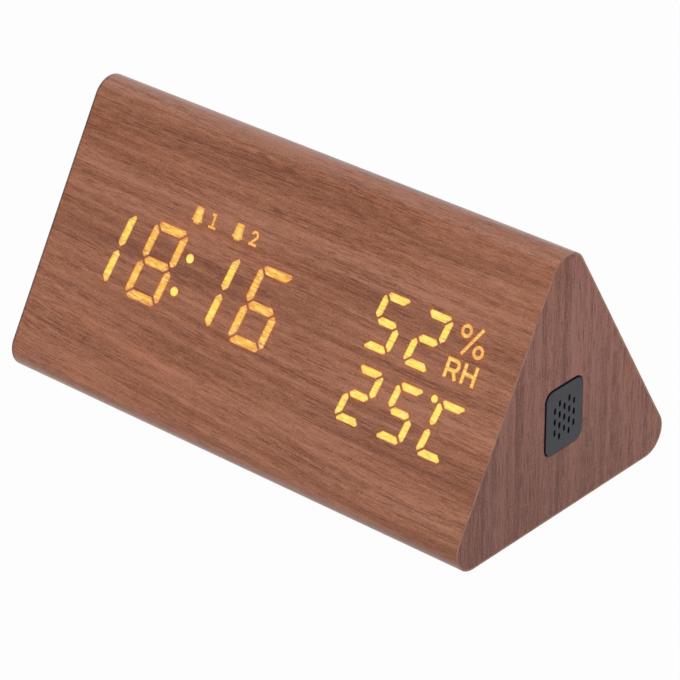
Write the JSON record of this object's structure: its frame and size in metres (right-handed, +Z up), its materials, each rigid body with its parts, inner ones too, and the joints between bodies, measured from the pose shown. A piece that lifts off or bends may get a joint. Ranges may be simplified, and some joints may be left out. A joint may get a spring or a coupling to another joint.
{
  "type": "digital alarm clock",
  "caption": "Free-standing digital alarm clock: triangular wood-look body with glowing time, alarm, humidity and temperature digits on its sloped front, push buttons behind, battery door below.",
  "frame": {"origin": "on the surface the feet stand on, under the middle of the body", "axes": "+X along the ridge towards the end with the air grille (right as seen from the front), -Y to the front, +Z up"},
  "size_m": [0.15, 0.0798, 0.0718],
  "materials": {
    "wood_film": "satin wood-grain film, grain along the body",
    "end_veneer": "satin wood-grain film, grain upright",
    "fibreboard": "raw fibreboard",
    "rubber": "matte",
    "black_plastic": "fine matte texture",
    "button_plastic": "satin",
    "jack_plastic": "satin",
    "white_plastic": "matte white",
    "unlit_resin": "cloudy resin",
    "led_chip": "gloss",
    "circuit_board": "green solder mask",
    "chip_plastic": "matte black",
    "steel": "plated",
    "cell_sleeve": "printed sleeve over metal",
    "red_wire": "wire insulation",
    "grey_wire": "wire insulation",
    "amber_light": "glowing resin"
  },
  "bodies": {
    "clock_body": {"wood_film": "wood_film", "left_end_panel": "end_veneer", "right_end_panel": "end_veneer", "front_board": "fibreboard", "back_board": "fibreboard", "base_board": "fibreboard", "rubber_feet": "rubber", "sensor_grille": "black_plastic", "sensor_board": "circuit_board", "humidity_sensor": "white_plastic", "display_reflector": "white_plastic", "display_board": "circuit_board", "led_chips": "led_chip", "display_driver": "chip_plastic", "unlit_segments": "unlit_resin", "battery_tray": "black_plastic", "tray_screws": "steel", "positive_terminal": "steel", "negative_terminal": "steel", "bridge_contacts": "steel", "main_board": "circuit_board", "clock_chip": "chip_plastic", "crystal": "steel", "buzzer": "chip_plastic", "board_screws": "steel", "button_board": "circuit_board", "button_spacers": "white_plastic", "spacer_screws": "steel", "tact_switches": "chip_plastic", "power_jack": "jack_plastic", "jack_nut": "steel", "battery_lead": "red_wire", "power_lead": "red_wire", "sensor_lead": "grey_wire", "display_lead": "grey_wire", "button_lead": "grey_wire", "hour_tens": "amber_light", "hour_units": "amber_light", "time_colon": "amber_light", "minute_tens": "amber_light", "minute_units": "amber_light", "alarm_one": "amber_light", "alarm_two": "amber_light", "humidity_tens": "amber_light", "humidity_units": "amber_light", "humidity_sign": "amber_light", "temperature_tens": "amber_light", "temperature_units": "amber_light", "temperature_sign": "amber_light", "aaa_cell_1": "cell_sleeve", "aaa_cell_2": "cell_sleeve", "aaa_cell_3": "cell_sleeve", "aaa_cell_4": "cell_sleeve"},
    "set_key": {"set_button": "button_plastic", "set_plunger": "chip_plastic"},
    "up_key": {"up_button": "button_plastic", "up_plunger": "chip_plastic"},
    "down_key": {"down_button": "button_plastic", "down_plunger": "chip_plastic"},
    "door": {"battery_door": "black_plastic"}
  },
  "joints": [
    {"name": "set_press", "type": "slide", "parent": "clock_body", "child": "set_key", "axis": [0, -0.866, -0.5], "range_m": [0, 0.0005], "stiffness_N_per_m": 800, "springref_m": -0.0015},
    {"name": "up_press", "type": "slide", "parent": "clock_body", "child": "up_key", "axis": [0, -0.866, -0.5], "range_m": [0, 0.0005], "stiffness_N_per_m": 800, "springref_m": -0.0015},
    {"name": "down_press", "type": "slide", "parent": "clock_body", "child": "down_key", "axis": [0, -0.866, -0.5], "range_m": [0, 0.0005], "stiffness_N_per_m": 800, "springref_m": -0.0015},
    {"name": "battery_door_hinge", "type": "hinge", "parent": "clock_body", "child": "door", "pos_m": [0, 0.022, 0.002], "axis": [1, 0, 0], "range_deg": [0, 85]}
  ]
}
